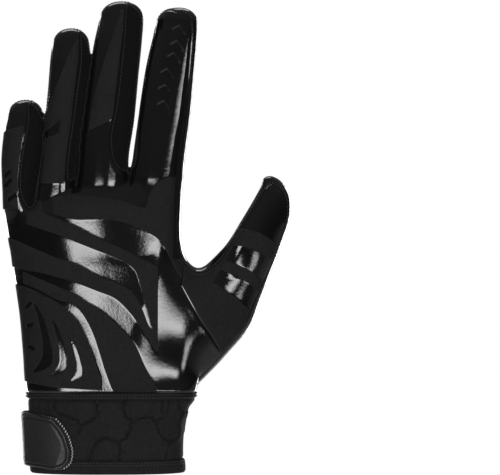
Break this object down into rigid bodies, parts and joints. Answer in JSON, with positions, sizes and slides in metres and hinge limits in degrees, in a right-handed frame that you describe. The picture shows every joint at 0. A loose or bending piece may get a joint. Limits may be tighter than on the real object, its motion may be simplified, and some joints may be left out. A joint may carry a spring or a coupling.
{
  "type": "football receiver glove",
  "caption": "Left glove with a gripping coated palm, a back of thin cloth with raised matte bands, sewn finger strips and a padded cuff with a fastened tab.",
  "frame": {"origin": "centre of the cuff's opening, at its lower edge", "axes": "+Z towards the fingertips, +X towards the thumb, +Y out of the palm, so the back of the hand faces -Y"},
  "size_m": [0.1464, 0.0476, 0.2352],
  "materials": {
    "film": "thin black gloss film bonded on stretch cloth, fine weave showing through",
    "matte": "matte black raised fabric, fine grain",
    "knit": "matte black stretch knit",
    "grip": "smooth tacky black coating, glossy",
    "cuff": "black padded stretch cloth with embossed rounded cells",
    "tab": "black moulded rubber with a bevelled edge and a sewn border",
    "hooks": "grey hook strip"
  },
  "bodies": {
    "root": {"back_panel": "film", "palm_panel": "grip", "thumb_back": "film", "fourchette_pinky_ring": "knit", "fourchette_ring_middle": "knit", "fourchette_middle_index": "knit", "index_side": "knit", "knuckle_band": "matte", "double_band": "matte", "hand_pad": "matte", "side_pad": "matte", "pinky_pad": "matte", "ring_pad": "matte", "middle_pad": "matte", "chevron_1": "matte", "chevron_2": "matte", "chevron_3": "matte", "chevron_4": "matte", "chevron_5": "matte", "chevron_6": "matte", "thumb_pad": "matte", "cuff_band": "cuff", "cuff_hem": "cuff", "wrist_welt": "knit", "hook_pad": "hooks", "strap_tab": "tab"}
  },
  "joints": []
}
